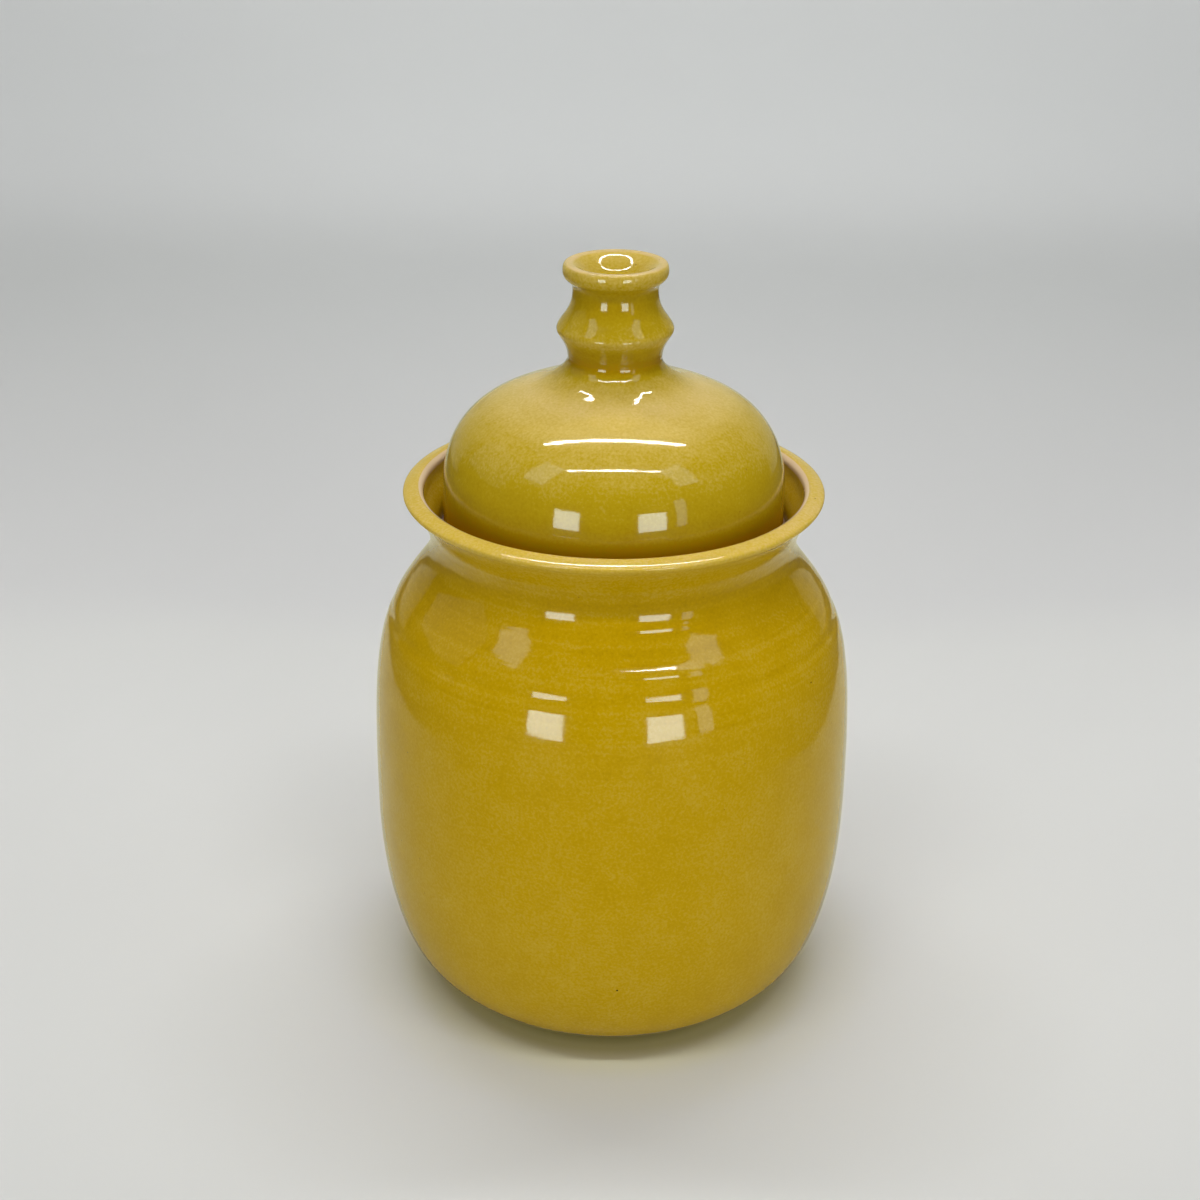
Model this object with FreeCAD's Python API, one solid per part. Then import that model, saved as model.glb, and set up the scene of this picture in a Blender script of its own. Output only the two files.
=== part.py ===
import FreeCAD, Part
import os

# Treat jar: a wheel-thrown stoneware jar and the lid that drops into its collar.
# Millimetres, +Z up. The origin is the centre of the foot, on the table.
# Each outline is a half section, given as a radius from the axis and a height.
# Its flowing parts are splines that stay inside their poles, so no size makes them overshoot.

# Jar, outside
jar_height = 171.5            # table to the top of the lip
foot_radius = 46.0            # outer edge of the foot ring
foot_reach = 14.3             # the wall leaves the foot towards a pole this far out
foot_rise = 6.2               # and this far up
heel_inset = 5.4              # pole of the round heel, inside the belly
heel_height = 15.8
belly_radius = 76.3           # the jar's widest radius
belly_height = 72.5           # middle of the belly
belly_span = 45.0             # height over which the belly runs almost straight
shoulder_inset = 2.4          # pole of the shoulder, inside the belly
shoulder_drop = 29.0          # and below the neck
throat_flare = 6.9            # pole of the hollow curve between shoulder and neck
throat_drop = 13.1
neck_wall = 3.4               # clay beside the lid at the neck, the crease under the collar
neck_turn = 5.4               # length of the upright stretch below the crease
collar_height = 16.8          # neck crease to the top of the lip
collar_turn = 4.0             # length of the upright stretch above the crease
collar_flare = 2.5            # pole of the collar's hollow curve, outside the neck
collar_rise = 9.2

# Lip
lip_overhang = 7.8            # how far the lip stands out from the neck
lip_width = 6.2               # mouth to outer edge
lip_crest_inset = 4.2         # the lip's highest ring lies this far inside its outer edge
lip_foot_inset = 1.3          # end of the collar's outside, where the roll of the lip begins
lip_foot_drop = 3.7
lip_under_inset = 0.15        # poles of the roll, in from the lip's edge and down from its crest
lip_under_drop = 2.8
lip_edge_bulge = 0.35
lip_edge_drop = 1.5
lip_over_inset = 1.1
lip_over_drop = 0.75
lip_slope_inset = 2.9
lip_slope_drop = 0.12
bevel_top_reach = 0.7         # poles of the bevel that runs from the crest in to the mouth
bevel_top_drop = 0.15
bevel_low_reach = 0.15
bevel_low_drop = 0.9
bevel_turn_drop = 1.8
bevel_foot_drop = 2.6

# Ledge inside the collar that carries the lid
seat_depth = 14.5             # top of the lip down to the ledge
ledge_overlap = 5.4           # how far the ledge reaches in under the lid's side
ledge_thickness = 6.0         # height of the bore below the ledge

# Jar, inside and underneath
wall = 6.0
floor_thickness = 8.0
floor_reach = 10.0            # length of the flat stretch that runs into the inner heel
foot_ring_width = 6.0
foot_recess = 2.5

# Lid
lid_radius = 52.4
lid_clearance = 1.0           # between the lid's side and the wall beside the ledge
lid_wall = 5.2
lid_edge_round = 1.0
lid_side_height = 15.0        # straight side, up from the ledge
brow_rise = 22.9              # poles of the dome, up from the ledge and in from its side
dome_turn_inset = 5.2
dome_turn_rise = 34.9
dome_top_inset = 16.9
dome_top_rise = 42.0
ceiling_rise = 41.0           # underside of the dome, on the axis

# Knob
waist_radius = 14.2           # lower waist, where the dome has turned up into the knob
waist_rise = 54.6             # up from the ledge
root_reach = 5.5              # pole of the hollow turn from dome to knob
root_drop = 7.5
waist_turn = 2.5              # length of the upright stretch at each side of the lower waist
bulge_radius = 18.3           # pole of the bulge; its crest is rounder and lies a little inside
bulge_rise = 8.7              # up from the lower waist
bulge_under_inset = 1.8
bulge_under_drop = 2.1
bulge_over_inset = 3.2
bulge_over_rise = 3.9
knob_neck_radius = 12.75      # upper waist
knob_neck_rise = 20.5         # up from the lower waist
knob_neck_turn = 4.0
knob_lip_radius = 15.95       # pole of the knob's lip; the lip itself reaches about 15.7
knob_lip_height = 7.9         # upper waist to the knob's crest
knob_lip_turn = 2.0           # length of the upright stretch above the upper waist
knob_lip_under = 3.0          # upper waist to the underside of the lip
knob_lip_under_inset = 0.55
knob_lip_over = 2.0           # crest down to the lip's shoulder
crest_inset = 1.55            # the crest lies this far inside the lip
crest_turn_out = 0.95         # poles of the level turn over the crest
crest_turn_in = 1.1
cup_brow_inset = 2.7          # poles of the funnel in the knob's top, in and down from its crest
cup_brow_drop = 0.5
cup_high_inset = 5.7
cup_high_drop = 2.65
cup_low_inset = 8.0
cup_low_drop = 4.55
cup_depth = 5.3               # hollow in the top of the knob
cup_floor_radius = 4.0

# Sizes that follow from those above
seat_wall_radius = lid_radius + lid_clearance
neck_radius = seat_wall_radius + neck_wall
neck_height = jar_height - collar_height
lip_radius = neck_radius + lip_overhang
mouth_radius = lip_radius - lip_width
lip_crest_radius = lip_radius - lip_crest_inset
seat_height = jar_height - seat_depth
bore_radius = lid_radius - ledge_overlap
bore_foot_height = seat_height - ledge_thickness
belly_low = belly_height - belly_span / 2
belly_high = belly_height + belly_span / 2
shoulder_height = neck_height - shoulder_drop
waist_height = seat_height + waist_rise
knob_neck_height = waist_height + knob_neck_rise
knob_top = knob_neck_height + knob_lip_height
crest_radius = knob_lip_radius - crest_inset


def at(radius, height):
    """A point of the half section."""
    return FreeCAD.Vector(radius, 0, height)


def line(start, end):
    return Part.LineSegment(start, end).toShape()


def flowing(poles):
    """A smooth curve drawn by its poles: it starts at the first and ends at the last."""
    curve = Part.BSplineCurve()
    curve.buildFromPoles(poles)
    return curve.toShape()


def rounded(start, tip, end):
    """A quarter round from start to end, whose two sides would meet square at the tip."""
    centre = start + end - tip
    reach = tip - centre
    middle = centre + reach * ((start - centre).Length / reach.Length)
    return Part.Arc(start, middle, end).toShape()


def turned(edges):
    """The solid that a closed half section makes when it is turned about the jar's axis."""
    face = Part.Face(Part.Wire(edges))
    return face.revolve(FreeCAD.Vector(0, 0, 0), FreeCAD.Vector(0, 0, 1), 360)


def jar_outside():
    """The body from the foot up to the neck crease, then the collar out to the lip."""
    neck = at(neck_radius, neck_height)
    body = flowing([
        at(foot_radius, 0),
        at(foot_radius + foot_reach, foot_rise),
        at(belly_radius - heel_inset, heel_height),
        at(belly_radius, belly_low),
        at(belly_radius, belly_height),
        at(belly_radius, belly_high),
        at(belly_radius - shoulder_inset, shoulder_height),
        at(neck_radius + throat_flare, neck_height - throat_drop),
        at(neck_radius, neck_height - neck_turn),
        neck,
    ])
    collar = flowing([
        neck,
        at(neck_radius, neck_height + collar_turn),
        at(neck_radius + collar_flare, neck_height + collar_rise),
        at(lip_radius - lip_foot_inset, jar_height - lip_foot_drop),
    ])
    return [body, collar]


def jar_lip():
    """The roll of the lip up to its crest, then the bevel that runs in to the mouth."""
    crest = at(lip_crest_radius, jar_height)
    roll = flowing([
        at(lip_radius - lip_foot_inset, jar_height - lip_foot_drop),
        at(lip_radius - lip_under_inset, jar_height - lip_under_drop),
        at(lip_radius + lip_edge_bulge, jar_height - lip_edge_drop),
        at(lip_radius - lip_over_inset, jar_height - lip_over_drop),
        at(lip_radius - lip_slope_inset, jar_height - lip_slope_drop),
        crest,
    ])
    bevel = flowing([
        crest,
        at(lip_crest_radius - bevel_top_reach, jar_height - bevel_top_drop),
        at(mouth_radius + bevel_low_reach, jar_height - bevel_low_drop),
        at(mouth_radius, jar_height - bevel_turn_drop),
        at(mouth_radius, jar_height - bevel_foot_drop),
    ])
    return [roll, bevel]


def jar_inside():
    """The collar's inside, the ledge, the bore under it, and the wall down to the floor."""
    mouth_height = jar_height - bevel_foot_drop
    ledge_outer = at(seat_wall_radius, seat_height)
    ledge_inner = at(bore_radius, seat_height)
    bore_foot = at(bore_radius, bore_foot_height)
    floor_edge = at(foot_radius - wall, floor_thickness)
    halfway = (mouth_height + seat_height) / 2
    return [
        flowing([
            at(mouth_radius, mouth_height),
            at(mouth_radius, halfway),
            at(seat_wall_radius, halfway),
            ledge_outer,
        ]),
        line(ledge_outer, ledge_inner),
        line(ledge_inner, bore_foot),
        flowing([
            bore_foot,
            at(bore_radius, bore_foot_height - neck_turn),
            at(belly_radius - shoulder_inset - wall, shoulder_height - wall / 2),
            at(belly_radius - wall, belly_high),
            at(belly_radius - wall, belly_height),
            at(belly_radius - wall, belly_low),
            at(belly_radius - heel_inset - wall, heel_height + wall / 2),
            at(foot_radius - wall + floor_reach, floor_thickness),
            floor_edge,
        ]),
        line(floor_edge, at(0, floor_thickness)),
    ]


def jar_underside():
    """Down the axis, out across the recess, and over the flat foot ring."""
    ring_inner = foot_radius - foot_ring_width
    recess_edge = at(ring_inner - foot_recess, foot_recess)
    return [
        line(at(0, floor_thickness), at(0, foot_recess)),
        line(at(0, foot_recess), recess_edge),
        line(recess_edge, at(ring_inner, 0)),
        line(at(ring_inner, 0), at(foot_radius, 0)),
    ]


def make_jar():
    return turned(jar_outside() + jar_lip() + jar_inside() + jar_underside())


def lid_outside():
    """The flat ring that sits on the ledge, the straight side, and the dome up to the knob."""
    ring_inner = at(lid_radius - lid_wall, seat_height)
    ring_outer = at(lid_radius - lid_edge_round, seat_height)
    side_foot = at(lid_radius, seat_height + lid_edge_round)
    side_top = at(lid_radius, seat_height + lid_side_height)
    dome = flowing([
        side_top,
        at(lid_radius, seat_height + brow_rise),
        at(lid_radius - dome_turn_inset, seat_height + dome_turn_rise),
        at(lid_radius - dome_top_inset, seat_height + dome_top_rise),
        at(waist_radius + root_reach, waist_height - root_drop),
        at(waist_radius, waist_height - waist_turn),
        at(waist_radius, waist_height),
    ])
    return [
        line(ring_inner, ring_outer),
        rounded(ring_outer, at(lid_radius, seat_height), side_foot),
        line(side_foot, side_top),
        dome,
    ]


def knob_outside():
    """The knob's two waists with the bulge between, its lip, and the cup in its top."""
    bulge_height = waist_height + bulge_rise
    knob_neck = at(knob_neck_radius, knob_neck_height)
    crest = at(crest_radius, knob_top)
    cup_floor_height = knob_top - cup_depth
    bulge = flowing([
        at(waist_radius, waist_height),
        at(waist_radius, waist_height + waist_turn),
        at(bulge_radius - bulge_under_inset, bulge_height - bulge_under_drop),
        at(bulge_radius, bulge_height),
        at(bulge_radius - bulge_over_inset, bulge_height + bulge_over_rise),
        at(knob_neck_radius, knob_neck_height - knob_neck_turn),
        knob_neck,
    ])
    lip = flowing([
        knob_neck,
        at(knob_neck_radius, knob_neck_height + knob_lip_turn),
        at(knob_lip_radius - knob_lip_under_inset, knob_neck_height + knob_lip_under),
        at(knob_lip_radius, knob_top - knob_lip_over),
        at(crest_radius + crest_turn_out, knob_top),
        crest,
    ])
    cup = flowing([
        crest,
        at(crest_radius - crest_turn_in, knob_top),
        at(crest_radius - cup_brow_inset, knob_top - cup_brow_drop),
        at(crest_radius - cup_high_inset, knob_top - cup_high_drop),
        at(crest_radius - cup_low_inset, knob_top - cup_low_drop),
        at(cup_floor_radius, cup_floor_height),
        at(0, cup_floor_height),
    ])
    return [bulge, lip, cup]


def lid_inside():
    """Down the axis inside the knob, then under the dome and down the side."""
    ceiling = at(0, seat_height + ceiling_rise)
    side_top = at(lid_radius - lid_wall, seat_height + lid_side_height)
    underside = flowing([
        ceiling,
        at(waist_radius + root_reach, seat_height + ceiling_rise),
        at(lid_radius - dome_top_inset - lid_wall / 2, seat_height + dome_top_rise - lid_wall),
        at(lid_radius - dome_turn_inset - lid_wall, seat_height + dome_turn_rise - lid_wall / 2),
        at(lid_radius - lid_wall, seat_height + brow_rise - lid_wall / 2),
        side_top,
    ])
    return [
        line(at(0, knob_top - cup_depth), ceiling),
        underside,
        line(side_top, at(lid_radius - lid_wall, seat_height)),
    ]


def make_lid():
    return turned(lid_outside() + knob_outside() + lid_inside())


os.makedirs("parts", exist_ok=True)
for name, shape in (("jar", make_jar()), ("lid", make_lid())):
    shape.exportStep("parts/" + name + ".step")
    box = shape.optimalBoundingBox()
    print(name, shape.ShapeType, "valid", shape.isValid(), "volume", round(shape.Volume))
    print("  from", round(box.ZMin, 2), "to", round(box.ZMax, 2), "width", round(box.XLength, 2))
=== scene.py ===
# %% [markdown]
# # A lidded treat jar in mustard glaze
# The real jar is two pieces of wheel-thrown stoneware: a barrel-shaped jar, and a lid that
# drops inside its flared collar. A potter shapes a wall while it spins, so one half section
# tells the whole form, and Blender's Spin does what the wheel did. The frame holds both
# pieces at their real size, and everything here takes its place from it.

# %% Load the frame
import math

import bpy
from mathutils import Matrix, Vector


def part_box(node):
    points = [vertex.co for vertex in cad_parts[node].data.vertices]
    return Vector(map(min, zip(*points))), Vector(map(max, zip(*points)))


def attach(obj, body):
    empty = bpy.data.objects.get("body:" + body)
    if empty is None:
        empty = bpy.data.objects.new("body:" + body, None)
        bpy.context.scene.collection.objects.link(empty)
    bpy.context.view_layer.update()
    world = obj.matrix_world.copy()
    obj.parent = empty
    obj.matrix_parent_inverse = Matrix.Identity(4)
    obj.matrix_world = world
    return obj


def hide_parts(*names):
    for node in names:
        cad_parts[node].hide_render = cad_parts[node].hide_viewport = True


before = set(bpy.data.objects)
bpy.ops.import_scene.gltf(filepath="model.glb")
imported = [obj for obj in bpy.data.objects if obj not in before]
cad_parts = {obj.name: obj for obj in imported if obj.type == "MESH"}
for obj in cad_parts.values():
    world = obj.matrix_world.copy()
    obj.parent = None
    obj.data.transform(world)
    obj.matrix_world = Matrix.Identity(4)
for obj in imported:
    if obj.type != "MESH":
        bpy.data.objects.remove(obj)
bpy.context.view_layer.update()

print("frame nodes:", sorted(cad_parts))

# %% [markdown]
# ## Sizes from the frame
# Blender works in metres and a potter thinks in millimetres, so MM turns one into the other.
# The main heights and radii are read from the frame's boxes, so that the visible pieces keep
# the size of the solid ones.

# %% Main heights and radii
MM = 0.001
jar_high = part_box("jar")[1]
lid_low, lid_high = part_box("lid")
lip_top = jar_high.z / MM
belly = jar_high.x / MM
seat = lid_low.z / MM
lid_side = lid_high.x / MM
knob_top = lid_high.z / MM
print("lip at", round(lip_top, 1), "belly", round(belly, 1), "seat", round(seat, 1))
print("lid side", round(lid_side, 1), "knob top", round(knob_top, 1))

# %% [markdown]
# ## The camera
# The camera stands about 0.7 m from the jar's foot and looks down at it, as someone at the
# table would. It comes first, so that every later step can be looked at. A short roll
# about its own line of sight is easier to write as a product of two turns than as Euler
# angles.

# %% Camera
CAMERA_PLACE = Vector((-0.0040, -0.5592, 0.3896))
CAMERA_DOWN = 24.82     # degrees below level
CAMERA_ROLL = 0.38      # degrees
SENSOR_WIDTH = 36       # millimetres
FOCAL_LENGTH = 58.5
camera_data = bpy.data.cameras.new("camera")
camera_data.sensor_width = SENSOR_WIDTH
camera_data.lens = FOCAL_LENGTH
camera = bpy.data.objects.new("camera", camera_data)
bpy.context.scene.collection.objects.link(camera)
look_down = Matrix.Rotation(math.radians(90 - CAMERA_DOWN), 4, "X")
roll = Matrix.Rotation(math.radians(CAMERA_ROLL), 4, "Z")
camera.matrix_world = Matrix.Translation(CAMERA_PLACE) @ look_down @ roll
bpy.context.scene.camera = camera
print("camera", round(CAMERA_PLACE.length, 3), "m from the foot")

# %% [markdown]
# ## Drawing a half section
# A turned wall is a string of smooth stretches: the belly, the collar, the lip. Each could be
# a row of mesh points placed by hand, but a NURBS path needs only a few poles and never
# wobbles between them. That matters on a glossy pot, where every wobble shows as a bent
# reflection. Each stretch is a path whose poles are (radius, height) in millimetres.

# %% Helpers for a turned piece
STEPS_ROUND = 216       # a piece is turned in this many steps
WELD = 0.01 * MM        # points closer than this are one point


def only(*pieces):
    """Leaves object mode with just these pieces selected, the first of them active."""
    if bpy.context.object and bpy.context.object.mode != "OBJECT":
        bpy.ops.object.mode_set(mode="OBJECT")
    bpy.ops.object.select_all(action="DESELECT")
    for piece in pieces:
        piece.select_set(True)
    bpy.context.view_layer.objects.active = pieces[0]


def stretch(poles, fineness):
    """One smooth stretch of a half section, with this many points between two poles."""
    bpy.ops.object.select_all(action="DESELECT")
    bpy.ops.curve.primitive_nurbs_path_add(location=(0, 0, 0))
    path = bpy.context.object
    path.data.splines.clear()
    line = path.data.splines.new("NURBS")
    line.points.add(len(poles) - 1)
    for point, (radius, height) in zip(line.points, poles):
        point.co = (radius * MM, 0, height * MM, 1)
    line.use_endpoint_u = True
    line.order_u = min(4, len(poles))
    line.resolution_u = fineness
    bpy.ops.object.convert(target="MESH")
    return bpy.context.object


def turn(name, stretches):
    """Joins the stretches into one half section and turns it once about the axis."""
    parts = [stretch(poles, fineness) for poles, fineness in stretches]
    only(*parts)
    bpy.ops.object.join()
    piece = bpy.context.object
    piece.name = name
    piece.data.name = name
    bpy.ops.object.mode_set(mode="EDIT")
    bpy.ops.mesh.select_mode(type="VERT")
    bpy.ops.mesh.select_all(action="SELECT")
    bpy.ops.mesh.remove_doubles(threshold=WELD)
    bpy.ops.mesh.spin(
        steps=STEPS_ROUND, angle=2 * math.pi, center=(0, 0, 0), axis=(0, 0, 1)
    )
    bpy.ops.mesh.select_all(action="SELECT")
    bpy.ops.mesh.remove_doubles(threshold=WELD)
    bpy.ops.mesh.normals_make_consistent(inside=False)
    bpy.ops.object.mode_set(mode="OBJECT")
    bpy.ops.object.shade_smooth()
    triangles = sum(len(face.vertices) - 2 for face in piece.data.polygons)
    print(name, "has", len(piece.data.vertices), "points and", triangles, "triangles")
    return piece


# %% [markdown]
# ## The jar
# Thrown jars have no sharp edges, because the potter's sponge and then the glaze round them.
# The wall leaves the small foot, turns up at the heel, runs nearly straight through the
# belly, and closes in at the shoulder. Above the crease the collar flares out to a thick
# lip, whose crest lies near the mouth, and inside it a ledge carries the lid.

# %% Half section of the jar
PLAY = 1.0              # free space between the lid's side and the collar
NECK_WALL = 3.4
COLLAR_HEIGHT = 16.8
SHOULDER_HEIGHT = 29.0  # the stretch in which the belly closes in to the crease
FLARE = 7.8             # how far the lip stands out past the crease
LIP_WIDTH = 6.2
CREST_IN = 4.2          # how far inside the lip's edge its crest lies
COLLAR_DEPTH = 8.5      # from the lip down to where the collar narrows
LEDGE_WIDTH = 5.4
LEDGE_THICKNESS = 6.0
WALL = 6.0
FLOOR = 8.0
FLOOR_RADIUS = 40
FOOT = 46.0
RECESS = 2.5            # height of the hollow inside the foot ring
neck = lid_side + PLAY + NECK_WALL
neck_height = lip_top - COLLAR_HEIGHT
shoulder = neck_height - SHOULDER_HEIGHT
lip = neck + FLARE
mouth = lip - LIP_WIDTH
crest = lip - CREST_IN
ledge_wall = lid_side + PLAY
ledge_turn = lip_top - COLLAR_DEPTH
bore = lid_side - LEDGE_WIDTH
bore_foot = seat - LEDGE_THICKNESS

underside = [(0, RECESS), (FOOT - 9, RECESS), (FOOT - 6.5, RECESS), (FOOT - 6, 0.6),
             (FOOT - 5, 0), (FOOT - 3, 0)]
foot_turn = [(FOOT - 3, 0), (FOOT - 1, 0), (FOOT + 0.4, 0.1), (FOOT + 2.2, 0.7)]
body = [(FOOT + 2.2, 0.7), (60.3, 6.2), (belly - 5.4, 15.8), (belly, 50), (belly, 72.5),
        (belly, 95), (belly - 2.4, shoulder), (neck + 6.9, neck_height - 13.1),
        (neck, neck_height - 5.4), (neck, neck_height)]
collar = [(neck, neck_height), (neck, neck_height + 4), (neck + 2.5, neck_height + 9.2),
          (lip - 1.3, lip_top - 3.7)]
lip_roll = [(lip - 1.3, lip_top - 3.7), (lip - 0.15, lip_top - 2.8),
            (lip + 0.35, lip_top - 1.5), (lip - 1.1, lip_top - 0.75),
            (lip - 2.9, lip_top - 0.12), (crest, lip_top)]
bevel = [(crest, lip_top), (crest - 0.7, lip_top - 0.15), (mouth + 0.15, lip_top - 0.9),
         (mouth, lip_top - 1.8), (mouth, lip_top - 2.6)]
gallery = [(mouth, lip_top - 2.6), (mouth, ledge_turn), (ledge_wall, ledge_turn),
           (ledge_wall, seat)]
ledge = [(ledge_wall, seat), (bore, seat)]
bore_wall = [(bore, seat), (bore, bore_foot)]
inside = [(bore, bore_foot), (bore, bore_foot - 5.4), (belly - 8.4, shoulder - 3),
          (belly - WALL, 95), (belly - WALL, 72.5), (belly - WALL, 50),
          (belly - 11.4, 18.8), (50, FLOOR), (FLOOR_RADIUS, FLOOR)]
inner_floor = [(FLOOR_RADIUS, FLOOR), (0, FLOOR)]
print("crease", round(neck, 1), "lip", round(lip, 1), "bore", round(bore, 1))

# %% Turn the jar
jar = turn("glazed_jar", [
    (underside, 4), (foot_turn, 6), (body, 24), (collar, 16), (lip_roll, 6), (bevel, 5),
    (gallery, 9), (ledge, 3), (bore_wall, 3), (inside, 7), (inner_floor, 6),
])

# %% [markdown]
# ## The lid
# The lid is a hollow dome whose straight side stands on the ledge. Its knob is thrown in one
# with it: a waist, a ring that bulges out to a soft edge, a second waist, and a rolled lip
# round a funnel-shaped hollow where a fingertip fits.

# %% Half section of the lid
WAIST_RISE = 54.6       # from the ledge to the waist under the knob
KNOB_RISE = 20.5        # from there to the waist under the knob's lip
LID_WALL = 5.2
WAIST_RADIUS = 14.2
KNOB_NECK_RADIUS = 12.75
KNOB_CREST = 14.4
SIDE_HEIGHT = 15        # of the lid's straight side
waist = seat + WAIST_RISE
knob_neck = waist + KNOB_RISE
lid_bore = lid_side - LID_WALL

lid_foot = [(lid_bore, seat), (lid_side - 1.5, seat)]
lid_corner = [(lid_side - 1.5, seat), (lid_side - 0.6, seat), (lid_side, seat + 0.6),
              (lid_side, seat + 1.5)]
lid_wall = [(lid_side, seat + 1.5), (lid_side, seat + SIDE_HEIGHT)]
dome = [(lid_side, seat + SIDE_HEIGHT), (lid_side, seat + 22.9),
        (lid_side - 5.2, seat + 34.9), (lid_side - 16.9, seat + 42), (19.7, waist - 7.5),
        (WAIST_RADIUS, waist - 2.5), (WAIST_RADIUS, waist)]
bulge = [(WAIST_RADIUS, waist), (WAIST_RADIUS, waist + 2.5), (16.5, waist + 6.6),
         (18.3, waist + 8.7), (15.1, waist + 12.6), (KNOB_NECK_RADIUS, knob_neck - 4),
         (KNOB_NECK_RADIUS, knob_neck)]
knob_lip = [(KNOB_NECK_RADIUS, knob_neck), (KNOB_NECK_RADIUS, knob_neck + 2),
            (15.4, knob_neck + 3), (15.95, knob_top - 2), (15.35, knob_top),
            (KNOB_CREST, knob_top)]
cup = [(KNOB_CREST, knob_top), (13.3, knob_top), (11.7, knob_top - 0.5),
       (8.7, knob_top - 2.65), (6.4, knob_top - 4.55), (4, knob_top - 5.3),
       (0, knob_top - 5.3)]
ceiling = [(0, seat + 41), (19.7, seat + 41), (lid_side - 19.5, seat + 36.8),
           (lid_side - 10.4, seat + 32.3), (lid_bore, seat + 20.3),
           (lid_bore, seat + SIDE_HEIGHT)]
lid_inside = [(lid_bore, seat + SIDE_HEIGHT), (lid_bore, seat)]
print("waist at", round(waist, 1), "mm, neck of the knob at", round(knob_neck, 1))

# %% Turn the lid
lid = turn("glazed_lid", [
    (lid_foot, 3), (lid_corner, 5), (lid_wall, 12), (dome, 22), (bulge, 12),
    (knob_lip, 9), (cup, 9), (ceiling, 8), (lid_inside, 6),
])

# %% [markdown]
# ## The potter's hand
# No thrown wall is perfectly true. Low waves and rings are left by the fingers, and they are
# what makes a reflection on a real pot bend and break. They could be bump in the glaze, but
# real relief also shows in the mesh. A Displace modifier moves points along their normals,
# by a clouds pattern that an empty stretches. Its middle level of 1 means that it only
# presses inwards, so the jar never outgrows the frame. A vertex group keeps it off the lip,
# the ledge and the foot, which have to fit.

# %% Helpers for uneven walls
PATTERN_PLACE = (0.31, 0.17, 0.05)      # where the clouds start, away from the axis


def hand_pressed(piece, name, reach, depth, weight_at):
    """Presses soft hollows into a wall. reach is their size across and up, in millimetres."""
    pressed = piece.vertex_groups.new(name=name)
    for point in piece.data.vertices:
        weight = weight_at(point.co / MM, point.normal)
        if weight > 0:
            pressed.add([point.index], min(weight, 1), "REPLACE")
    clouds = bpy.data.textures.new(name, "CLOUDS")
    clouds.noise_scale = 1.0
    clouds.noise_depth = 1
    bpy.ops.object.select_all(action="DESELECT")
    bpy.ops.object.empty_add(location=PATTERN_PLACE)
    grain = bpy.context.object
    grain.scale = (reach[0] * MM, reach[0] * MM, reach[1] * MM)
    bpy.context.view_layer.update()
    only(piece)
    press = piece.modifiers.new(name, "DISPLACE")
    press.texture = clouds
    press.texture_coords = "OBJECT"
    press.texture_coords_object = grain
    press.vertex_group = name
    press.mid_level = 1.0
    press.strength = depth * MM
    bpy.ops.object.modifier_apply(modifier=name)
    only(grain)
    bpy.ops.object.delete()
    piece.vertex_groups.remove(piece.vertex_groups[name])
    print(name, "pressed up to", depth, "mm into", piece.name)


def rise(value, start, end):
    """0 before start, 1 after end, and a straight rise between them."""
    return min(max((value - start) / (end - start), 0), 1)


def jar_wall(place, normal):
    """1 on the jar's outside between foot and collar, 0 on the rest."""
    outward = normal.x * place.x + normal.y * place.y > 0
    if not outward:
        return 0
    return rise(place.z, 6, 25) * (1 - rise(place.z, neck_height - 4, neck_height + 2))


def jar_shoulder(place, normal):
    """1 round the shoulder, where the throwing rings are strongest, and faint below."""
    rings = 0.25 + 0.75 * rise(place.z, 92, 122)
    return jar_wall(place, normal) * rings


def lid_dome(place, normal):
    """1 on the lid's dome, 0 on its side, its inside and the knob."""
    if normal.z < 0:
        return 0
    return rise(place.z, seat + 12, seat + 24) * rise(math.hypot(place.x, place.y), 18, 26)


def knob_root(place, normal):
    """1 where the knob grows out of the dome."""
    radius = math.hypot(place.x, place.y)
    if normal.z < 0 or place.z < seat + 40 or place.z > waist:
        return 0
    return rise(place.z, waist - 12, waist - 8) * (1 - rise(radius, 24, 28))


# %% Waves and rings
hand_pressed(jar, "wall_waves", (60, 34), 0.35, jar_wall)
hand_pressed(jar, "throwing_rings", (95, 3.4), 0.085, jar_shoulder)
hand_pressed(lid, "dome_waves", (38, 30), 0.26, lid_dome)
hand_pressed(lid, "root_marks", (6, 3.5), 0.22, knob_root)

# %% [markdown]
# A few rings stand out from the rest, where a finger paused. Each is a loop of points, or
# part of one, that is scaled outwards or inwards from the axis. Proportional editing takes
# the wall beside it along, so that the ring has soft flanks.

# %% Single rings
LEVEL = 0.35            # points this near in height belong to one ring, in millimetres


def finger_ring(piece, height, push, flank, from_angle=-180, to_angle=180):
    """Pushes the wall out by push at this height, over an arc counted from the front."""
    only(piece)
    bpy.ops.object.mode_set(mode="EDIT")
    bpy.ops.mesh.select_all(action="DESELECT")
    bpy.ops.object.mode_set(mode="OBJECT")
    outer = [p for p in piece.data.vertices
             if p.normal.x * p.co.x + p.normal.y * p.co.y > 0 and p.co.z < lip_top * MM]
    nearest = min(outer, key=lambda p: abs(p.co.z - height * MM))
    radius = math.hypot(nearest.co.x, nearest.co.y)
    for point in outer:
        angle = math.degrees(math.atan2(point.co.x, -point.co.y))
        level = abs(point.co.z - nearest.co.z) < LEVEL * MM
        point.select = level and from_angle <= angle <= to_angle
    bpy.ops.object.mode_set(mode="EDIT")
    grow = 1 + push * MM / radius
    bpy.ops.transform.resize(
        value=(grow, grow, 1), center_override=(0, 0, nearest.co.z),
        use_proportional_edit=True, proportional_edit_falloff="SMOOTH",
        proportional_size=flank * MM,
    )
    bpy.ops.object.mode_set(mode="OBJECT")
    print("ring at", round(nearest.co.z / MM, 1), "mm pushed by", push, "mm")


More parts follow.
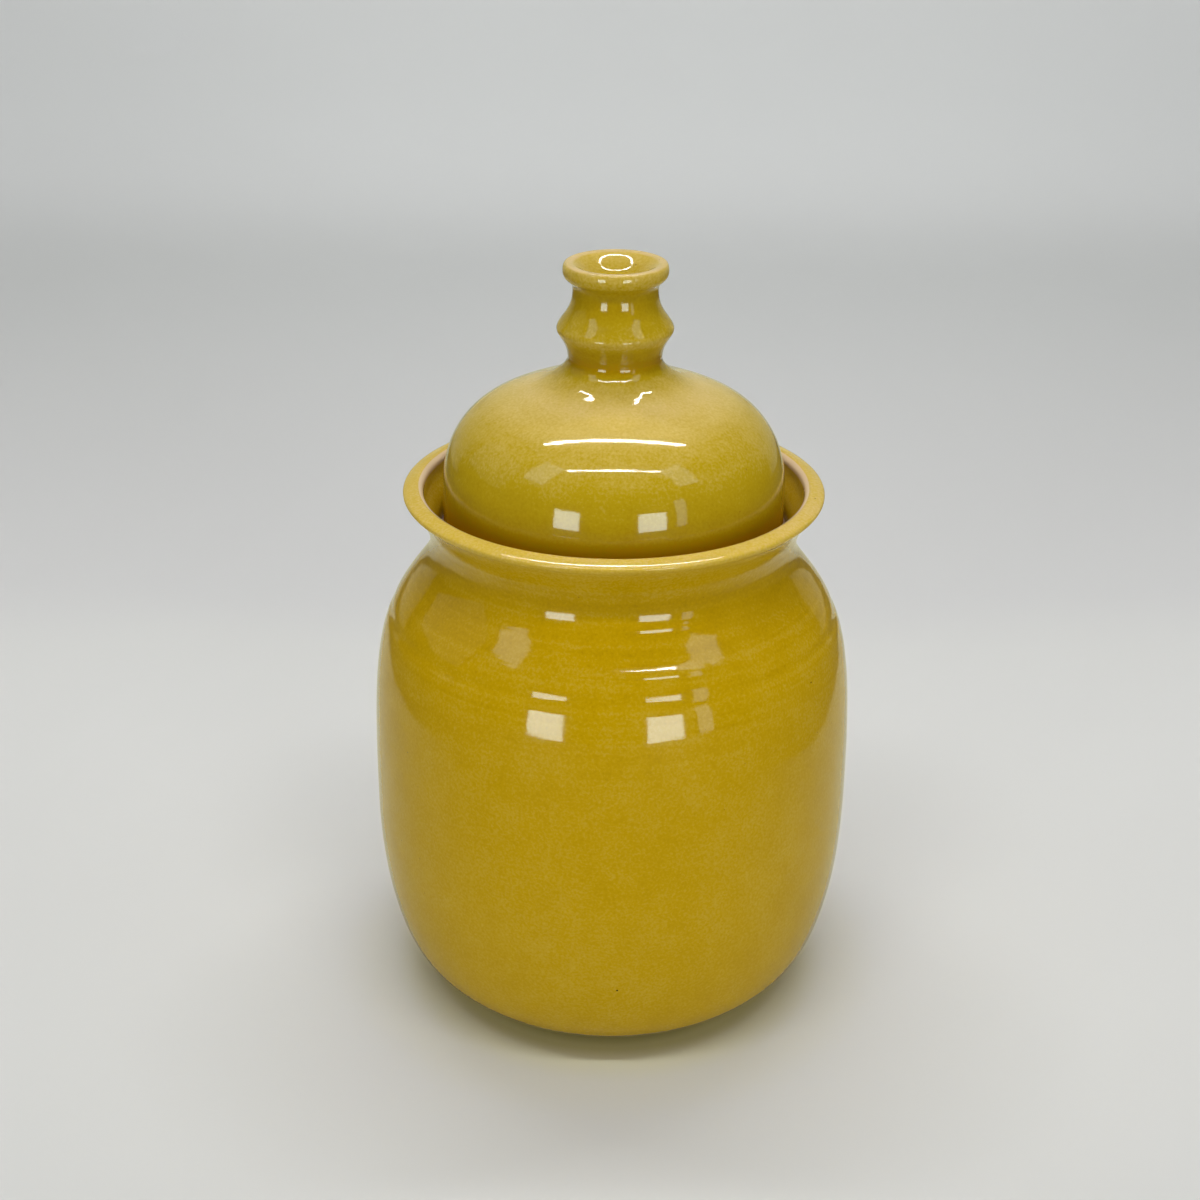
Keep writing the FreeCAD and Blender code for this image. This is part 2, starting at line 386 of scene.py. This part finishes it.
finger_ring(jar, 130.2, -0.28, 3.2)
finger_ring(jar, 137.7, 0.45, 2.3, 0, 24)
finger_ring(jar, 148.4, 0.36, 1.5, 2, 22)

# %% [markdown]
# ## Mustard glaze
# The glaze is a glassy coat over buff clay. Where it runs thin, over the lip and the edges of
# the knob, the clay makes it creamy, and where it pools, in the waists, it is a deep brownish
# gold. The same deep brown at the foot of the lid, down in the gap inside the collar, is partly
# pooled glaze and partly painted shade. So the colour follows one number, the thickness of the
# glaze, with painted shade and painted sheen set into it at a few heights. It is set by height,
# because a turned pot has its edges and hollows at fixed heights, and is then broken up by noise
# of several sizes. Everything reads Object coordinates, in metres, so nothing slides or
# stretches. Painting it on an image would need no thought about height, but it would blur close up.

# %% Helpers for shader nodes
def add(tree, kind, settings=(), values=()):
    """Adds a node, with its settings by name and the values of its unlinked inputs."""
    node = tree.nodes.new(kind)
    for name, value in settings:
        setattr(node, name, value)
    for name, value in values:
        node.inputs[name].default_value = value
    return node


def math_node(tree, operation, *values):
    """One sum on up to three values, each a number or another node's output."""
    node = add(tree, "ShaderNodeMath", [("operation", operation)])
    for socket, value in zip(node.inputs, values):
        if isinstance(value, (int, float)):
            socket.default_value = value
        else:
            tree.links.new(value, socket)
    return node.outputs[0]


def noise(tree, place, scale, detail=2.0, squash=(1, 1, 1)):
    """Soft noise round 0, from about -0.5 to 0.5, with scale features to the metre."""
    mapping = add(tree, "ShaderNodeMapping", values=[("Scale", squash)])
    tree.links.new(place, mapping.inputs["Vector"])
    cloud = add(tree, "ShaderNodeTexNoise", values=[("Scale", scale), ("Detail", detail)])
    tree.links.new(mapping.outputs["Vector"], cloud.inputs["Vector"])
    return math_node(tree, "SUBTRACT", cloud.outputs["Fac"], 0.5)


def between(tree, value, low, high):
    """0 at low and 1 at high, smooth in between. low may be the greater."""
    ramp = add(tree, "ShaderNodeMapRange", [("interpolation_type", "SMOOTHSTEP")])
    turned = low > high
    ramp.inputs["From Min"].default_value = min(low, high)
    ramp.inputs["From Max"].default_value = max(low, high)
    ramp.inputs["To Min"].default_value = 1.0 if turned else 0.0
    ramp.inputs["To Max"].default_value = 0.0 if turned else 1.0
    tree.links.new(value, ramp.inputs["Value"])
    return ramp.outputs["Result"]


def ramp_of(tree, value, stops, ease="EASE"):
    """A colour ramp through (position, colour) stops."""
    ramp = add(tree, "ShaderNodeValToRGB")
    ramp.color_ramp.interpolation = ease
    marks = ramp.color_ramp.elements
    while len(marks) < len(stops):
        marks.new(0.5)
    for mark, (position, colour) in zip(marks, stops):
        mark.position = position
        mark.color = (*colour, 1)
    tree.links.new(value, ramp.inputs["Fac"])
    return ramp.outputs["Color"]


def blend(tree, amount, under, over):
    """The colour over, laid on the colour under by amount."""
    mix = add(tree, "ShaderNodeMix", [("data_type", "RGBA")])
    tree.links.new(amount, mix.inputs[0])
    for socket, colour in zip((mix.inputs[6], mix.inputs[7]), (under, over)):
        if isinstance(colour, tuple):
            socket.default_value = (*colour, 1)
        else:
            tree.links.new(colour, socket)
    return mix.outputs[2]


def specks(tree, place, spacing, radius, share):
    """1 on round specks of this radius, in millimetres, set in cells this far apart."""
    scale = 1 / (spacing * MM)
    cells = add(tree, "ShaderNodeTexVoronoi", values=[("Scale", scale)])
    tree.links.new(place, cells.inputs["Vector"])
    pick = add(tree, "ShaderNodeSeparateColor")
    tree.links.new(cells.outputs["Color"], pick.inputs["Color"])
    # Each speck has a size of its own, from 0.6 to 1.1 of the radius, and a soft edge.
    edge = radius * MM * scale
    size = math_node(tree, "MULTIPLY_ADD", pick.outputs[1], 0.5 * edge, 0.6 * edge)
    near = math_node(tree, "DIVIDE", cells.outputs["Distance"], size)
    spot = between(tree, near, 1.15, 0.75)
    chosen = math_node(tree, "LESS_THAN", pick.outputs[0], share)
    return math_node(tree, "MULTIPLY", spot, chosen)


def from_the_axis(tree, split):
    """Distance from the jar's axis, in millimetres."""
    across = math_node(tree, "MULTIPLY", split.outputs["X"], split.outputs["X"])
    along = math_node(tree, "MULTIPLY", split.outputs["Y"], split.outputs["Y"])
    radius = math_node(tree, "SQRT", math_node(tree, "ADD", across, along))
    return math_node(tree, "DIVIDE", radius, MM)


def summed(tree, total, patterns):
    """Adds patterns to a value, each times its strength."""
    for pattern, strength in patterns:
        part = math_node(tree, "MULTIPLY", pattern, strength)
        total = math_node(tree, "ADD", total, part)
    return total


# %% [markdown]
# The colours run from thin to thick. They are plain linear values, chosen for a glaze
# under even light. A potter would see cream where the clay shines through, straw, mustard,
# old gold, and the brown of a deep pool.

# %% Colours of the glaze and the clay
CREAM = (0.625, 0.440, 0.185)
STRAW = (0.535, 0.372, 0.045)
MUSTARD = (0.448, 0.276, 0.0008)
OLD_GOLD = (0.330, 0.190, 0.0008)
POOL_BROWN = (0.170, 0.075, 0.0010)
JAR_COLOURS = [(0.0, CREAM), (0.25, STRAW), (0.5, MUSTARD), (0.75, OLD_GOLD),
               (1.0, POOL_BROWN)]
# The lid's last colour, at its foot in the gap inside the collar, is partly pooled glaze and partly
# painted shade, warmed as by light bounced off the glaze.
LID_COLOURS = [(0.0, (0.660, 0.485, 0.190)), (0.25, (0.525, 0.380, 0.085)),
               (0.5, (0.390, 0.268, 0.006)), (0.75, (0.310, 0.190, 0.0008)),
               (1.0, (0.370, 0.175, 0.0010))]
# Pale of glaze thin over edges; on the jar's inner bevel it is partly a painted reflection of the
# wall.
THIN_EDGE_AND_SHEEN = (0.640, 0.470, 0.290)
BUFF_CLAY = (0.520, 0.380, 0.245)
TOASTED_CLAY = (0.360, 0.190, 0.090)
IRON_SPECK = (0.030, 0.014, 0.003)
RUST_SPECK = (0.230, 0.120, 0.004)
print(len(JAR_COLOURS), "colours for the jar and", len(LID_COLOURS), "for the lid")

# %% [markdown]
# Nothing in a fired glaze is quite even: it pools, mottles and grains, keeps the streaks of
# throwing, and iron in the clay burns through as specks. Each pattern is one noise with a
# strength, which has no seam and stays sharp close up, as a painted image wouldn't. Mottle
# moves the gloss along with the colour, and grain and streaks move the relief with it.

# %% Patterns of the glaze
# Each noise has its features to the metre and its detail, and the streaks are stretched.
POOL_NOISE = (21, 2.0)
MOTTLE_NOISE = (120, 3.0)
GRAIN_NOISE = (1200, 2.0)
STREAK_NOISE = (1.0, 2.0, (11, 11, 620))
WIPE_NOISE = (260, 2.0)
WAVE_NOISE = (60, 1.0)
PEEL_NOISE = (300, 1.0)
POOLS = 0.11            # how far each pattern moves the thickness
MOTTLE = 0.15
GRAIN = 0.34
WAVES_HIGH = 0.00007    # relief, in metres
PEEL_HIGH = 0.000012
GRAIN_HIGH = 0.0000035
STREAKS_HIGH = 0.000035
GLOSS = 0.065           # roughness of the fired surface
GLOSS_SPREAD = 0.05
MATT_CLAY = 0.68        # what bare clay adds to it
GLAZE_SPECULAR = 0.26   # below the usual 0.5, so that the yellow stays deep
# Specks: spacing and radius in millimetres, share of the cells, strength and colour.
SPECKS = [
    (2.2, 0.17, 0.45, 0.30, RUST_SPECK),
    (6.0, 0.30, 0.45, 0.55, RUST_SPECK),
    (11.5, 0.38, 0.85, 0.95, IRON_SPECK),
]
print("patterns move the thickness by up to", round(0.5 * (POOLS + MOTTLE + GRAIN), 2))


# %% The glaze
def thickness_at(tree, height, low, high, by_height):
    """The glaze's thickness, read off a list of (height, thickness); a few heights in the lists also
    hold painted shade and painted sheen.
    """
    level = math_node(tree, "SUBTRACT", height, low)
    level = math_node(tree, "DIVIDE", level, high - low)
    stops = [((z - low) / (high - low), (t, t, t)) for z, t in by_height]
    return ramp_of(tree, level, stops)


def speckled(tree, place, colour):
    """A colour with iron specks: a few dark ones, more faint ones, and a fine pepper."""
    for spacing, radius, share, strength, iron in SPECKS:
        spots = specks(tree, place, spacing, radius, share)
        colour = blend(tree, math_node(tree, "MULTIPLY", spots, strength), colour, iron)
    return colour


def wiped_to_clay(tree, wiped, grain, colour):
    """A colour that gives way to bare clay, with a toasted line beside it."""
    clay = blend(tree, between(tree, grain, -0.25, 0.25), BUFF_CLAY, TOASTED_CLAY)
    clay = blend(tree, between(tree, wiped, 0.2, 0.9), TOASTED_CLAY, clay)
    return blend(tree, between(tree, wiped, 0.3, 0.5), colour, clay)


def glaze_of(name, low, high, by_height, colours, thin, bare, streak_heights, streak_depth):
    """A glaze whose thickness follows by_height, with bare clay where bare says."""
    material = bpy.data.materials.new(name)
    material.use_nodes = True
    tree = material.node_tree
    coat = tree.nodes["Principled BSDF"]
    place = add(tree, "ShaderNodeTexCoord").outputs["Object"]
    split = add(tree, "ShaderNodeSeparateXYZ")
    tree.links.new(place, split.inputs[0])
    height = math_node(tree, "DIVIDE", split.outputs["Z"], MM)
    mottle = noise(tree, place, *MOTTLE_NOISE)
    grain = noise(tree, place, *GRAIN_NOISE)
    on_streaks = between(tree, height, *streak_heights)
    streaks = math_node(tree, "MULTIPLY", noise(tree, place, *STREAK_NOISE), on_streaks)

    # The colour follows the thickness, and the sharpest edges hold almost no glaze; on the jar's
    # inner bevel that pale is partly a painted reflection of the wall.
    thickness = summed(tree, thickness_at(tree, height, low, high, by_height), [
        (noise(tree, place, *POOL_NOISE), POOLS), (mottle, MOTTLE), (grain, GRAIN),
        (streaks, streak_depth),
    ])
    colour = ramp_of(tree, thickness, colours, "LINEAR")
    edge = summed(tree, thin(tree, split, height), [(mottle, 0.5)])
    colour = blend(tree, between(tree, edge, 0.25, 0.95), colour, THIN_EDGE_AND_SHEEN)
    colour = speckled(tree, place, colour)
    uneven = math_node(tree, "MULTIPLY", noise(tree, place, *WIPE_NOISE), 0.5)
    wiped = bare(tree, split, height, uneven)
    colour = wiped_to_clay(tree, wiped, grain, colour)
    tree.links.new(colour, coat.inputs["Base Color"])

    # A fired gloss, a little less even in patches, and matt on the clay.
    gloss = math_node(tree, "MULTIPLY", mottle, GLOSS_SPREAD)
    gloss = math_node(tree, "ADD", gloss, GLOSS)
    gloss = summed(tree, gloss, [(between(tree, wiped, 0.3, 0.5), MATT_CLAY)])
    tree.links.new(gloss, coat.inputs["Roughness"])
    coat.inputs["Specular IOR Level"].default_value = GLAZE_SPECULAR

    # Relief: soft waves, orange peel, fine grain and throwing lines.
    waves = math_node(tree, "MULTIPLY", noise(tree, place, *WAVE_NOISE), WAVES_HIGH)
    relief = summed(tree, waves, [
        (noise(tree, place, *PEEL_NOISE), PEEL_HIGH), (grain, GRAIN_HIGH),
        (streaks, STREAKS_HIGH),
    ])
    bump = add(tree, "ShaderNodeBump", values=[("Strength", 1.0), ("Distance", 1.0)])
    tree.links.new(relief, bump.inputs["Height"])
    tree.links.new(bump.outputs["Normal"], coat.inputs["Normal"])
    print(name, "has", len(tree.nodes), "nodes")
    return material


# %% [markdown]
# The jar's thickness list starts at the foot and ends at the lip: half is plain mustard, and
# less is paler. Before a glaze firing, a potter wipes the foot ring and the ledge, so that
# nothing sticks, and the bare clay shows there.

# %% Glaze of the jar
JAR_THICKNESS_AND_SHEEN = [
    # Low on the heel, up to 7.5 mm, the paler glaze is partly thinner glaze and partly a painted
    # reflection of the pale table.
    (0, 0.16), (5, 0.20), (7.5, 0.36), (12, 0.48), (55, 0.465), (90, 0.48),
    (122, 0.49), (140, 0.50), (neck_height, 0.52), (neck_height + 7, 0.47), (lip_top - 5, 0.40),
    (lip_top - 2.6, 0.27), (lip_top, 0.20),
]


def jar_thin_and_sheen(tree, split, height):
    """1 on the inner bevel of the lip, whose pale is partly thin glaze and partly a painted
    reflection of the wall.
    """
    radius = from_the_axis(tree, split)
    inner = between(tree, radius, crest - 0.2, crest - 0.9)
    top = between(tree, height, lip_top - 3.2, lip_top - 1.6)
    return math_node(tree, "MULTIPLY", inner, top)


def jar_bare(tree, split, height, uneven):
    """1 on the foot ring and on the ledge."""
    edge = math_node(tree, "ADD", height, uneven)
    ring = between(tree, edge, 1.3, 0.3)
    within = between(tree, from_the_axis(tree, split), ledge_wall + 0.7, ledge_wall + 0.2)
    above = between(tree, edge, seat - 1.2, seat - 0.4)
    below = between(tree, edge, seat + 0.9, seat + 0.3)
    on_ledge = math_node(tree, "MULTIPLY", math_node(tree, "MULTIPLY", above, below), within)
    return math_node(tree, "MAXIMUM", ring, on_ledge)


jar_glaze = glaze_of("jar_mustard_glaze", 0, lip_top, JAR_THICKNESS_AND_SHEEN, JAR_COLOURS,
                     jar_thin_and_sheen, jar_bare, (95, 125), 0.19)

# %% [markdown]
# The lid is a little paler and greener than the jar, as pieces fired together can be. Its
# thickness list runs from the foot of its side, up the dome and the knob, to the crest.

# %% Glaze of the lid
LID_THICKNESS_SHADE_AND_SHEEN = [
    # At the foot of the lid's side, down in the gap inside the collar, the deep brown is partly
    # pooled glaze and partly painted shade.
    (seat, 1.00), (seat + 10.5, 0.97), (seat + 13, 0.80), (seat + 17, 0.63),
    # Up the dome the glaze grows paler towards the top, partly thinner glaze and partly a painted
    # sheen of the ceiling.
    (seat + 24, 0.54), (seat + 32, 0.46), (seat + 38, 0.42), (seat + 42, 0.27),
    (seat + 45, 0.18), (waist - 5, 0.40), (waist, 0.80), (waist + 4, 0.66),
    (waist + 7.5, 0.40), (waist + 12, 0.50), (knob_neck - 2, 0.62),
    (knob_neck + 1.5, 0.62), (knob_neck + 4, 0.44), (knob_top - 1.5, 0.36),
    (knob_top, 0.33),
]


def lid_thin(tree, split, height):
    """About a half on the crest of the knob."""
    rim = between(tree, height, knob_top - 0.8, knob_top - 0.1)
    return math_node(tree, "MULTIPLY", rim, 0.55)


def lid_bare(tree, split, height, uneven):
    """1 on the ring that stands on the ledge."""
    edge = math_node(tree, "ADD", height, uneven)
    return between(tree, edge, seat + 1.2, seat + 0.4)


lid_glaze = glaze_of("lid_mustard_glaze", seat, knob_top, LID_THICKNESS_SHADE_AND_SHEEN, LID_COLOURS,
                     lid_thin, lid_bare, (seat + 10, seat + 30), 0.06)

for piece, finish in ((jar, jar_glaze), (lid, lid_glaze)):
    piece.data.materials.clear()
    piece.data.materials.append(finish)
    print(piece.name, "is finished with", finish.name)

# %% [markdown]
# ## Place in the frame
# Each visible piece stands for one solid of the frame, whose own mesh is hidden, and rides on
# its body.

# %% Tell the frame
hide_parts("jar")
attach(jar, "root")
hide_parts("lid")
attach(lid, "root")

# %% [markdown]
# ## The table and the backdrop
# The jar stands on a pale sweep: a level table that turns up into a wall behind. Drawn as
# one path and extruded sideways, it has no line between table and wall. Its colour changes
# some way behind the jar, where the tabletop ends.

# %% Shape of the sweep
SWEEP_WIDTH = 2.7
SWEEP_LINE = [(-1.15, 0), (0.5, 0), (0.85, 0), (1.05, 0), (1.05, 0.25), (1.05, 1.45)]
bpy.ops.object.select_all(action="DESELECT")
bpy.ops.curve.primitive_nurbs_path_add(location=(0, 0, 0))
sweep = bpy.context.object
sweep.name = "table_sweep"
sweep.data.splines.clear()
spine = sweep.data.splines.new("NURBS")
spine.points.add(len(SWEEP_LINE) - 1)
for point, (back, up) in zip(spine.points, SWEEP_LINE):
    point.co = (-SWEEP_WIDTH / 2, back, up, 1)
spine.use_endpoint_u = True
spine.order_u = 4
spine.resolution_u = 24
bpy.ops.object.convert(target="MESH")
bpy.ops.object.mode_set(mode="EDIT")
bpy.ops.mesh.select_all(action="SELECT")
bpy.ops.mesh.extrude_region_move(TRANSFORM_OT_translate={"value": (SWEEP_WIDTH, 0, 0)})
bpy.ops.mesh.select_all(action="SELECT")
bpy.ops.mesh.normals_make_consistent(inside=False)
bpy.ops.object.mode_set(mode="OBJECT")
bpy.ops.object.shade_smooth()

print("sweep", SWEEP_WIDTH, "m wide")

# %% [markdown]
# The sweep's tone is a ramp from front to back, moved a little by noise so that no line is
# ruled. A ring of painted shade lies round the foot, darkest under the narrow gap below the belly
# and tinted yellow as by light off the glaze. The glaze mirrors the sweep darker in front and
# past its lit ends: a real room is darker there, and the edges of the pale part draw the shape of
# the pot.

# %% Tones of the sweep
TABLE_TONES = [(0, (0.54, 0.545, 0.53)), (1, (0.665, 0.667, 0.650))]
TABLE_REACH = (-0.35, 0.16)     # metres behind the jar's axis, as all reaches are
WALL_TONES = [(0, (0.635, 0.635, 0.63)), (1, (0.70, 0.712, 0.707))]
WALL_REACH = (0.28, 1.0)
TABLE_TO_WALL = (0.225, 0.30)
MIRRORED_TONES = [(0, (0.07, 0.07, 0.06)), (1, (0.63, 0.63, 0.47))]
MIRRORED_REACH = (-0.20, 0.10)
LEFT_END = -0.35                # the lit part of the table ends here
RIGHT_END = 0.29
WALL_FOOT = 0.9
SMUDGE_NOISE = (9, 1.0)
SMUDGE = 0.05                   # metres
DECIMETRE = 100                 # millimetres
# The ring is painted shade, tinted yellow near its edge as by light off the glaze.
PAINTED_SHADE_RING = [                  # decimetres from the axis, and the tone there
    (0.50, (0.58, 0.54, 0.22)), (0.56, (0.80, 0.77, 0.42)), (0.62, (1, 0.98, 0.76)),
    (0.75, (1, 0.99, 0.93)), (0.95, (1, 1, 1)),
]
CLOTH_ROUGHNESS = 0.8


def seen_tone(tree, split, back):
    """The sweep's colour as it is: table and wall, with the painted ring of shade round the foot."""
    table = ramp_of(tree, between(tree, back, *TABLE_REACH), TABLE_TONES, "LINEAR")
    wall = ramp_of(tree, between(tree, back, *WALL_REACH), WALL_TONES, "LINEAR")
    tone = blend(tree, between(tree, back, *TABLE_TO_WALL), table, wall)
    out_here = math_node(tree, "DIVIDE", from_the_axis(tree, split), DECIMETRE)
    shade = ramp_of(tree, out_here, PAINTED_SHADE_RING)
    shaded = add(tree, "ShaderNodeMix", [("data_type", "RGBA"), ("blend_type", "MULTIPLY")])
    shaded.inputs[0].default_value = 1
    tree.links.new(tone, shaded.inputs[6])
    tree.links.new(shade, shaded.inputs[7])
    return shaded.outputs[2]


def mirrored_tone(tree, split, back):
    """The sweep's colour as the glaze mirrors it: dark in front and past the lit ends."""
    past_left = math_node(tree, "LESS_THAN", split.outputs["X"], LEFT_END)
    past_right = math_node(tree, "GREATER_THAN", split.outputs["X"], RIGHT_END)
    past_either = math_node(tree, "MAXIMUM", past_left, past_right)
    before_wall = math_node(tree, "LESS_THAN", split.outputs["Y"], WALL_FOOT)
    outside = math_node(tree, "MULTIPLY", past_either, before_wall)
    reach = math_node(tree, "MULTIPLY_ADD", outside, -2, back)
    return ramp_of(tree, between(tree, reach, *MIRRORED_REACH), MIRRORED_TONES, "LINEAR")


# %% Cloth of the sweep
cloth = bpy.data.materials.new("pale_sweep")
cloth.use_nodes = True
cloth_tree = cloth.node_tree
cloth_coat = cloth_tree.nodes["Principled BSDF"]
cloth_place = add(cloth_tree, "ShaderNodeTexCoord").outputs["Object"]
cloth_split = add(cloth_tree, "ShaderNodeSeparateXYZ")
cloth_tree.links.new(cloth_place, cloth_split.inputs[0])
smudge = noise(cloth_tree, cloth_place, *SMUDGE_NOISE)
cloth_back = summed(cloth_tree, cloth_split.outputs["Y"], [(smudge, SMUDGE)])
cloth_seen = seen_tone(cloth_tree, cloth_split, cloth_back)
cloth_mirrored = mirrored_tone(cloth_tree, cloth_split, cloth_back)
in_glaze = add(cloth_tree, "ShaderNodeLightPath").outputs["Is Glossy Ray"]
cloth_tone = blend(cloth_tree, in_glaze, cloth_seen, cloth_mirrored)
cloth_tree.links.new(cloth_tone, cloth_coat.inputs["Base Color"])
cloth_coat.inputs["Roughness"].default_value = CLOTH_ROUGHNESS
sweep.data.materials.append(cloth)
print("cloth has", len(cloth_tree.nodes), "nodes")

# %% [markdown]
# ## Light
# Two windows in front, two strip lights overhead, a pale ceiling and a soft lamp at each
# side light the jar evenly. Each is an area lamp. Its power comes from how bright it should look, so
# that a change of size doesn't change the reflection. A plain level keeps the glaze at its
# written colour. Some lamps only give light and some are only mirrored in the glaze: the
# panes, the tubes, two high patches, a wall and a doorway. So the brightness of a pane in
# the glaze is set apart from the light on the jar.

# %% Lamps
LAMP_CENTRE = Vector((0, 0, 0.13))


def lamp(name, azimuth, elevation, distance, width, height, brightness, job="both",
         tint=(1, 1, 1)):
    """An area lamp facing the jar. Its job is to "light", to be in the "mirror", or "both"."""
    around = math.radians(azimuth)
    above = math.radians(elevation)
    way = Vector((
        math.sin(around) * math.cos(above), -math.cos(around) * math.cos(above),
        math.sin(above),
    ))
    bpy.ops.object.light_add(type="AREA", location=LAMP_CENTRE + way * distance)
    light = bpy.context.object
    light.name = name
    light.rotation_euler = way.to_track_quat("Z", "Y").to_euler()
    light.data.shape = "RECTANGLE"
    light.data.size = width
    light.data.size_y = height
    light.data.energy = brightness * math.pi * width * height
    light.data.color = tint
    light.visible_camera = False
    light.visible_diffuse = job != "mirror"
    light.visible_glossy = job != "light"
    print(name, "gives", round(light.data.energy, 1), "W")


COOL = (0.87, 1.0, 0.99)
# Degrees round and above the jar; distance, width and height in metres; brightness; job.
lamp("window_left", -29.5, 9, 1.6, 0.50, 0.72, 4.4, "light")
lamp("window_right", 25, 9, 1.6, 0.50, 0.72, 6.2, "light")
lamp("pane_left", -30, 2.5, 1.59, 0.46, 0.55, 16.0, "mirror", COOL)
lamp("pane_right", 24, 2.0, 1.59, 0.48, 0.56, 15.5, "mirror", COOL)
lamp("strip_front", 0, 65, 1.0, 0.86, 0.050, 32, "light")
lamp("strip_back", 0, 105, 1.0, 0.90, 0.050, 32, "light")
lamp("tube_front", 0, 65, 0.97, 0.84, 0.046, 60, "mirror")
lamp("tube_back", 0, 105, 0.97, 0.88, 0.046, 60, "mirror")
lamp("ceiling", 0, 90, 1.8, 2.4, 2.4, 0.42)
lamp("side_left", -75, 18, 1.8, 1.1, 1.5, 0.90, "light")
lamp("side_right", 78, 20, 1.8, 1.2, 1.2, 1.15, "light")
lamp("high_patch_left", -62, 45, 1.6, 0.42, 0.72, 3.2, "mirror", COOL)
lamp("high_patch_right", 57, 47, 1.6, 0.40, 0.70, 3.2, "mirror", COOL)
lamp("left_wall", -100, 26, 1.8, 1.20, 1.0, 0.34, "mirror", COOL)
lamp("doorway_right", 43.0, 6, 1.8, 0.22, 0.95, 3.4, "mirror", COOL)

# %% [markdown]
# The world is a dim room. The camera sees it pale, through Is Camera Ray, so a view from
# behind has a light background too, with no more light on the jar. Through Is Glossy Ray
# the glaze mirrors it a little darker than the light it gives.

# %% World
ROOM_LIGHT = 0.055
ROOM_SEEN = 0.52
ROOM_MIRRORED = 0.04
room = bpy.data.worlds.new("dim_room")
bpy.context.scene.world = room
room.use_nodes = True
room_tree = room.node_tree
dim = room_tree.nodes["Background"]
dim.inputs["Color"].default_value = (1, 1, 1, 1)
dim.inputs["Strength"].default_value = ROOM_LIGHT
pale = add(room_tree, "ShaderNodeBackground", values=[("Strength", ROOM_SEEN)])
pale.inputs["Color"].default_value = (1, 1, 1, 1)
rays = add(room_tree, "ShaderNodeLightPath")
choice = add(room_tree, "ShaderNodeMixShader")
dark = add(room_tree, "ShaderNodeBackground", values=[("Strength", ROOM_MIRRORED)])
mirrored = add(room_tree, "ShaderNodeMixShader")
room_tree.links.new(rays.outputs["Is Glossy Ray"], mirrored.inputs[0])
room_tree.links.new(dim.outputs[0], mirrored.inputs[1])
room_tree.links.new(dark.outputs[0], mirrored.inputs[2])
room_tree.links.new(rays.outputs["Is Camera Ray"], choice.inputs[0])
room_tree.links.new(mirrored.outputs[0], choice.inputs[1])
room_tree.links.new(pale.outputs[0], choice.inputs[2])
room_tree.links.new(choice.outputs[0], room_tree.nodes["World Output"].inputs["Surface"])
bpy.context.scene.view_settings.view_transform = "Standard"
